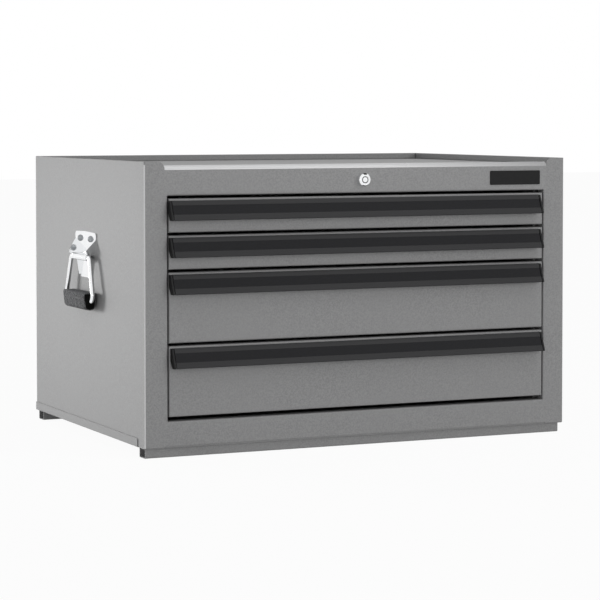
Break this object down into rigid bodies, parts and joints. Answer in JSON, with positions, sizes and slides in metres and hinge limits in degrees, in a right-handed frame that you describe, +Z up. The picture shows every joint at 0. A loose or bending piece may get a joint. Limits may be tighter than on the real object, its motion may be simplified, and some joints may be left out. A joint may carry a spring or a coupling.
{
  "type": "tool chest",
  "caption": "Low steel tool chest with full-width drawers on ball slides, a central lock in the upper rail, a shallow tray top and a swing-up carrying handle on each side.",
  "frame": {"origin": "on the floor, under the middle of the whole object's box", "axes": "+X to the viewer's right when facing the drawers, +Y to the back panel, +Z up; the drawers open towards -Y"},
  "size_m": [0.7574, 0.526, 0.4379],
  "materials": {
    "powder_coat": "finely textured grey powder coat",
    "black_aluminium": "black anodised, satin",
    "black_plastic": "moulded, satin",
    "badge": "bare black plate",
    "zinc_steel": "bright zinc",
    "chrome": "chrome plate",
    "grip_rubber": "dark mottled grip",
    "bumper_rubber": "matte"
  },
  "bodies": {
    "cabinet": {"left_side_panel": "powder_coat", "right_side_panel": "powder_coat", "back_panel": "powder_coat", "top_panel": "powder_coat", "bottom_pan": "powder_coat", "bottom_rail": "powder_coat", "front_skid": "powder_coat", "rear_skid": "powder_coat", "front_uprights": "powder_coat", "rear_uprights": "powder_coat", "badge_plate": "badge", "slide_bumpers": "bumper_rubber", "lock_body": "chrome", "lock_nut": "zinc_steel", "lock_rod_bracket": "zinc_steel", "lock_bar_guides": "zinc_steel", "left_handle_bracket": "chrome", "right_handle_bracket": "chrome", "handle_rivets": "zinc_steel", "drawer_1_cabinet_rails": "zinc_steel", "drawer_2_cabinet_rails": "zinc_steel", "drawer_3_cabinet_rails": "zinc_steel", "drawer_4_cabinet_rails": "zinc_steel"},
    "drawer_1": {"drawer_1_front": "powder_coat", "drawer_1_tray": "powder_coat", "drawer_1_pull": "black_aluminium", "drawer_1_pull_caps": "black_plastic", "drawer_1_drawer_rails": "zinc_steel"},
    "drawer_1_middle": {"drawer_1_middle_rails": "zinc_steel", "drawer_1_ball_cages": "zinc_steel"},
    "drawer_2": {"drawer_2_front": "powder_coat", "drawer_2_tray": "powder_coat", "drawer_2_pull": "black_aluminium", "drawer_2_pull_caps": "black_plastic", "drawer_2_drawer_rails": "zinc_steel"},
    "drawer_2_middle": {"drawer_2_middle_rails": "zinc_steel", "drawer_2_ball_cages": "zinc_steel"},
    "drawer_3": {"drawer_3_front": "powder_coat", "drawer_3_tray": "powder_coat", "drawer_3_pull": "black_aluminium", "drawer_3_pull_caps": "black_plastic", "drawer_3_drawer_rails": "zinc_steel"},
    "drawer_3_middle": {"drawer_3_middle_rails": "zinc_steel", "drawer_3_ball_cages": "zinc_steel"},
    "drawer_4": {"drawer_4_front": "powder_coat", "drawer_4_tray": "powder_coat", "drawer_4_pull": "black_aluminium", "drawer_4_pull_caps": "black_plastic", "drawer_4_drawer_rails": "zinc_steel"},
    "drawer_4_middle": {"drawer_4_middle_rails": "zinc_steel", "drawer_4_ball_cages": "zinc_steel"},
    "lock_core": {"lock_plug": "chrome", "lock_torque_rod": "zinc_steel", "lock_crank": "zinc_steel"},
    "lock_lifter": {"lock_bar": "zinc_steel"},
    "left_handle": {"left_handle_bail": "chrome", "left_handle_grip": "grip_rubber"},
    "right_handle": {"right_handle_bail": "chrome", "right_handle_grip": "grip_rubber"}
  },
  "joints": [
    {"name": "drawer_1_slide", "type": "slide", "parent": "cabinet", "child": "drawer_1", "axis": [0, -1, 0], "range_m": [0, 0.43]},
    {"name": "drawer_1_middle_slide", "type": "slide", "parent": "cabinet", "child": "drawer_1_middle", "axis": [0, -1, 0], "range_m": [0, 0.215]},
    {"name": "drawer_2_slide", "type": "slide", "parent": "cabinet", "child": "drawer_2", "axis": [0, -1, 0], "range_m": [0, 0.43]},
    {"name": "drawer_2_middle_slide", "type": "slide", "parent": "cabinet", "child": "drawer_2_middle", "axis": [0, -1, 0], "range_m": [0, 0.215]},
    {"name": "drawer_3_slide", "type": "slide", "parent": "cabinet", "child": "drawer_3", "axis": [0, -1, 0], "range_m": [0, 0.43]},
    {"name": "drawer_3_middle_slide", "type": "slide", "parent": "cabinet", "child": "drawer_3_middle", "axis": [0, -1, 0], "range_m": [0, 0.215]},
    {"name": "drawer_4_slide", "type": "slide", "parent": "cabinet", "child": "drawer_4", "axis": [0, -1, 0], "range_m": [0, 0.43]},
    {"name": "drawer_4_middle_slide", "type": "slide", "parent": "cabinet", "child": "drawer_4_middle", "axis": [0, -1, 0], "range_m": [0, 0.215]},
    {"name": "lock_turn", "type": "hinge", "parent": "cabinet", "child": "lock_core", "pos_m": [0, -0.2545, 0.4073], "axis": [0, 1, 0], "range_deg": [0, 90]},
    {"name": "lock_bar_lift", "type": "slide", "parent": "cabinet", "child": "lock_lifter", "axis": [0, 0, 1], "range_m": [0, 0.00905]},
    {"name": "left_handle_swing", "type": "hinge", "parent": "cabinet", "child": "left_handle", "pos_m": [-0.3656, 0.009, 0.2847], "axis": [0, 1, 0], "range_deg": [0, 95]},
    {"name": "right_handle_swing", "type": "hinge", "parent": "cabinet", "child": "right_handle", "pos_m": [0.3656, 0.009, 0.2847], "axis": [0, -1, 0], "range_deg": [0, 95]}
  ],
  "couplings": [
    {"joint": "drawer_1_middle_slide", "follows": "drawer_1_slide", "ratio": 0.5},
    {"joint": "drawer_2_middle_slide", "follows": "drawer_2_slide", "ratio": 0.5},
    {"joint": "drawer_3_middle_slide", "follows": "drawer_3_slide", "ratio": 0.5},
    {"joint": "drawer_4_middle_slide", "follows": "drawer_4_slide", "ratio": 0.5},
    {"joint": "lock_turn", "follows": "lock_bar_lift", "rad_per_m": 173.55}
  ]
}
